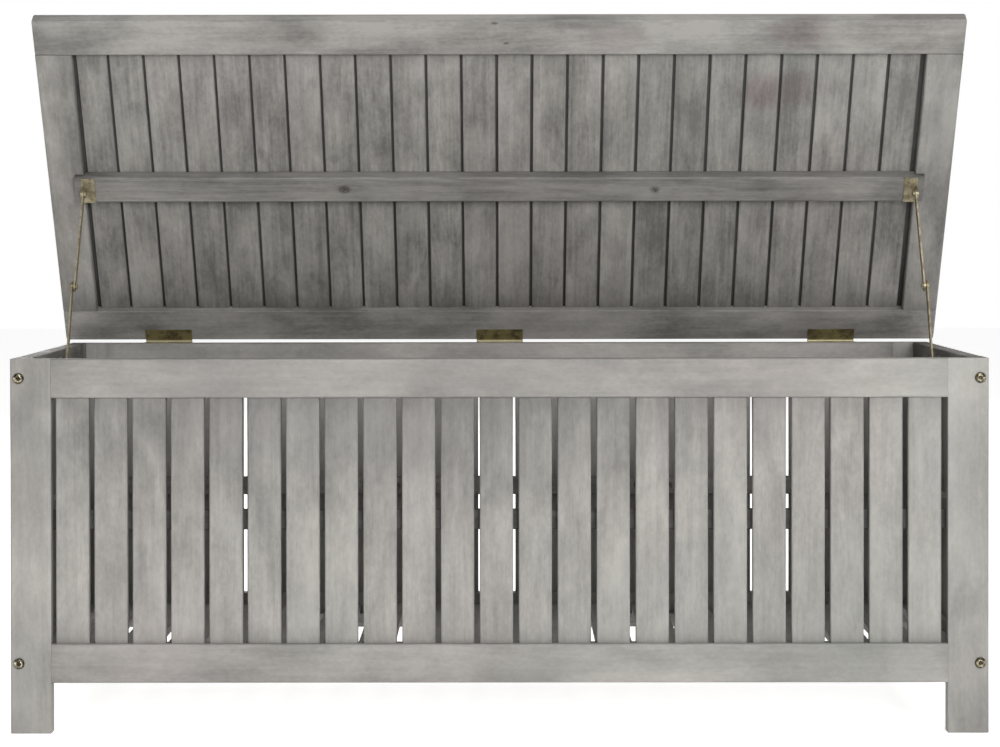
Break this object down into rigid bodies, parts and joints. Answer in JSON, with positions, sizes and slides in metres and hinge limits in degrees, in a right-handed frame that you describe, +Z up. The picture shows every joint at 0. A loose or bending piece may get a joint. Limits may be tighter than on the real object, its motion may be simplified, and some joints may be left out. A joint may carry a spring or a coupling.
{
  "type": "deck storage box",
  "caption": "Slatted wooden deck storage chest on legs, with a framed slatted lid on butt hinges held open by folding brass stays.",
  "frame": {"origin": "on the ground at the centre of the bounding box, with the lid open", "axes": "+X to the right seen from the front, +Y towards the hinged back, +Z up"},
  "size_m": [1.22, 0.5238, 0.8995],
  "materials": {
    "wood": "grey-washed, open-grained, matte",
    "brass": "aged, satin",
    "steel": "zinc plated"
  },
  "bodies": {
    "box": {"back_batten": "wood", "back_bottom_rail": "wood", "back_floor_batten": "wood", "back_left_leg": "wood", "back_right_leg": "wood", "back_slats": "wood", "back_top_rail": "wood", "barrel_nuts": "steel", "batten_screws": "steel", "floor_screws": "steel", "floor_slats": "wood", "frame_bolts": "brass", "front_batten": "wood", "front_bottom_rail": "wood", "front_floor_batten": "wood", "front_left_leg": "wood", "front_right_leg": "wood", "front_slats": "wood", "front_top_rail": "wood", "hinge_box_leaves": "brass", "hinge_box_screws": "brass", "hinge_pins": "brass", "left_side_back_stile": "wood", "left_side_batten": "wood", "left_side_bottom_rail": "wood", "left_side_front_stile": "wood", "left_side_slats": "wood", "left_side_top_rail": "wood", "left_stay_side_bracket": "brass", "right_side_back_stile": "wood", "right_side_batten": "wood", "right_side_bottom_rail": "wood", "right_side_front_stile": "wood", "right_side_slats": "wood", "right_side_top_rail": "wood", "right_stay_side_bracket": "brass", "side_bracket_screws": "brass", "stay_side_pivots": "brass"},
    "lid": {"cleat_screws": "steel", "hinge_lid_leaves": "brass", "hinge_lid_screws": "brass", "left_stay_lid_bracket": "brass", "lid_back_rail": "wood", "lid_bracket_screws": "brass", "lid_cleat": "wood", "lid_front_rail": "wood", "lid_left_stile": "wood", "lid_right_stile": "wood", "lid_slats": "wood", "right_stay_lid_bracket": "brass", "stay_lid_rivets": "brass"},
    "left_lower_stay": {"left_stay_lower_arm": "brass", "left_stay_elbow_rivet": "brass"},
    "left_upper_stay": {"left_stay_upper_arm": "brass", "left_stay_elbow_head": "brass"},
    "right_lower_stay": {"right_stay_lower_arm": "brass", "right_stay_elbow_rivet": "brass"},
    "right_upper_stay": {"right_stay_upper_arm": "brass", "right_stay_elbow_head": "brass"}
  },
  "joints": [
    {"name": "lid_hinge", "type": "hinge", "parent": "box", "child": "lid", "pos_m": [0, 0.24807, 0.461], "axis": [-1, 0, 0], "range_deg": [-56, 0]},
    {"name": "left_lower_stay_pivot", "type": "hinge", "parent": "box", "child": "left_lower_stay", "pos_m": [-0.5665, -0.01093, 0.424], "axis": [-1, 0, 0], "range_deg": [0, 59.5]},
    {"name": "left_upper_stay_pivot", "type": "hinge", "parent": "lid", "child": "left_upper_stay", "pos_m": [-0.5665, 0.08804, 0.66607], "axis": [-1, 0, 0], "range_deg": [-51, 0]},
    {"name": "right_lower_stay_pivot", "type": "hinge", "parent": "box", "child": "right_lower_stay", "pos_m": [0.5665, -0.01093, 0.424], "axis": [-1, 0, 0], "range_deg": [0, 59.5]},
    {"name": "right_upper_stay_pivot", "type": "hinge", "parent": "lid", "child": "right_upper_stay", "pos_m": [0.5665, 0.08804, 0.66607], "axis": [-1, 0, 0], "range_deg": [-51, 0]}
  ],
  "couplings": [
    {"joint": "left_lower_stay_pivot", "follows": "lid_hinge", "ratio": -1.0619},
    {"joint": "left_upper_stay_pivot", "follows": "lid_hinge", "ratio": 0.90989},
    {"joint": "right_lower_stay_pivot", "follows": "lid_hinge", "ratio": -1.0619},
    {"joint": "right_upper_stay_pivot", "follows": "lid_hinge", "ratio": 0.90989}
  ]
}
